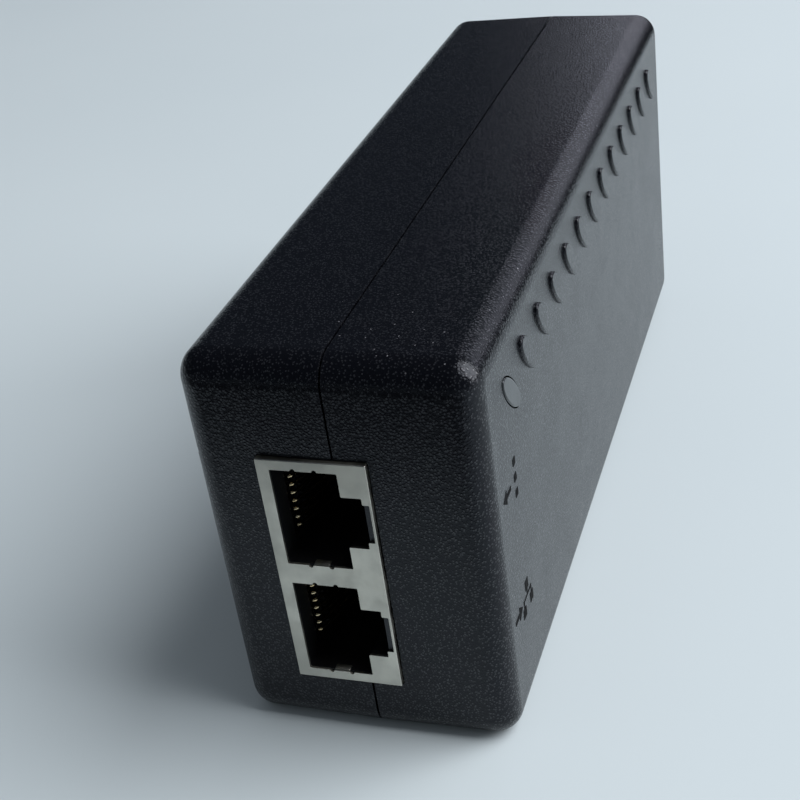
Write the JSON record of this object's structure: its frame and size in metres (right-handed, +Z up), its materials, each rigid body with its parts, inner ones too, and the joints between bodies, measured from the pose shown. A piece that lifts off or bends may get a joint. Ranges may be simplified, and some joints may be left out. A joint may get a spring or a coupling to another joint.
{
  "type": "power over ethernet injector",
  "caption": "Black moulded power injector box with a shielded two-port network jack at one end, an indicator window and raised ovals on its side, and a mains inlet at the other end.",
  "frame": {"origin": "middle of the footprint, on the surface that the standing long narrow side rests on", "axes": "+Z up as it stands on a long narrow side, -Y out of the jack end, +X out of the cover with the indicator"},
  "size_m": [0.0318, 0.1072, 0.0467],
  "materials": {
    "case_plastic": "fine spark texture, satin black",
    "tin_plate": "bright tin plate",
    "jack_plastic": "moulded black",
    "gold_wire": "gold flash over spring wire",
    "light_guide": "milky clear",
    "led_body": "white package",
    "inlet_plastic": "moulded black",
    "pin_metal": "nickel plate",
    "circuit_board": "green solder resist",
    "component_black": "moulded epoxy",
    "can_sleeve": "plain shrink sleeve",
    "ferrite": "ground ferrite",
    "winding_tape": "polyester tape",
    "enamelled_copper": "enamelled copper wire",
    "heat_sink_metal": "plain sheet",
    "film_yellow": "moulded box",
    "disc_blue": "dipped coating",
    "insulating_paper": "fibre sheet",
    "screw_steel": "zinc plate"
  },
  "bodies": {
    "case": {"base_shell": "case_plastic", "board_screw_front": "screw_steel", "board_screw_rear": "screw_steel", "bridge_rectifier": "component_black", "bulk_capacitor": "can_sleeve", "circuit_board": "circuit_board", "contact_carrier_lower": "jack_plastic", "contact_carrier_upper": "jack_plastic", "cover_shell": "case_plastic", "indicator_led": "led_body", "inlet_housing": "inlet_plastic", "inlet_pin_earth": "pin_metal", "inlet_pin_live": "pin_metal", "inlet_pin_neutral": "pin_metal", "input_terminal": "component_black", "insulating_sheet": "insulating_paper", "jack_housing": "jack_plastic", "jack_shield": "tin_plate", "light_guide": "light_guide", "line_transformer_lower": "component_black", "line_transformer_upper": "component_black", "mains_filter_capacitor": "film_yellow", "mains_fuse": "component_black", "optocoupler": "component_black", "output_capacitor_lower": "can_sleeve", "output_capacitor_upper": "can_sleeve", "output_choke_core": "ferrite", "output_choke_winding_left": "enamelled_copper", "output_choke_winding_right": "enamelled_copper", "output_rectifier": "component_black", "power_controller": "component_black", "primary_heat_sink": "heat_sink_metal", "safety_capacitor": "disc_blue", "secondary_heat_sink": "heat_sink_metal", "surge_limiter": "component_black", "switching_transistor": "component_black", "transformer_base": "component_black", "transformer_coil": "winding_tape", "transformer_core": "ferrite"},
    "upper_contacts": {"contact_upper_1": "gold_wire", "contact_upper_2": "gold_wire", "contact_upper_3": "gold_wire", "contact_upper_4": "gold_wire", "contact_upper_5": "gold_wire", "contact_upper_6": "gold_wire", "contact_upper_7": "gold_wire", "contact_upper_8": "gold_wire"},
    "lower_contacts": {"contact_lower_1": "gold_wire", "contact_lower_2": "gold_wire", "contact_lower_3": "gold_wire", "contact_lower_4": "gold_wire", "contact_lower_5": "gold_wire", "contact_lower_6": "gold_wire", "contact_lower_7": "gold_wire", "contact_lower_8": "gold_wire"}
  },
  "joints": [
    {"name": "upper_contacts_flex", "type": "hinge", "parent": "case", "child": "upper_contacts", "pos_m": [-0.00685, -0.04942, 0.02871], "axis": [0, 0, 1], "range_deg": [0, 12], "stiffness_Nm_per_rad": 0.05},
    {"name": "lower_contacts_flex", "type": "hinge", "parent": "case", "child": "lower_contacts", "pos_m": [-0.00685, -0.04942, 0.01448], "axis": [0, 0, 1], "range_deg": [0, 12], "stiffness_Nm_per_rad": 0.05}
  ]
}
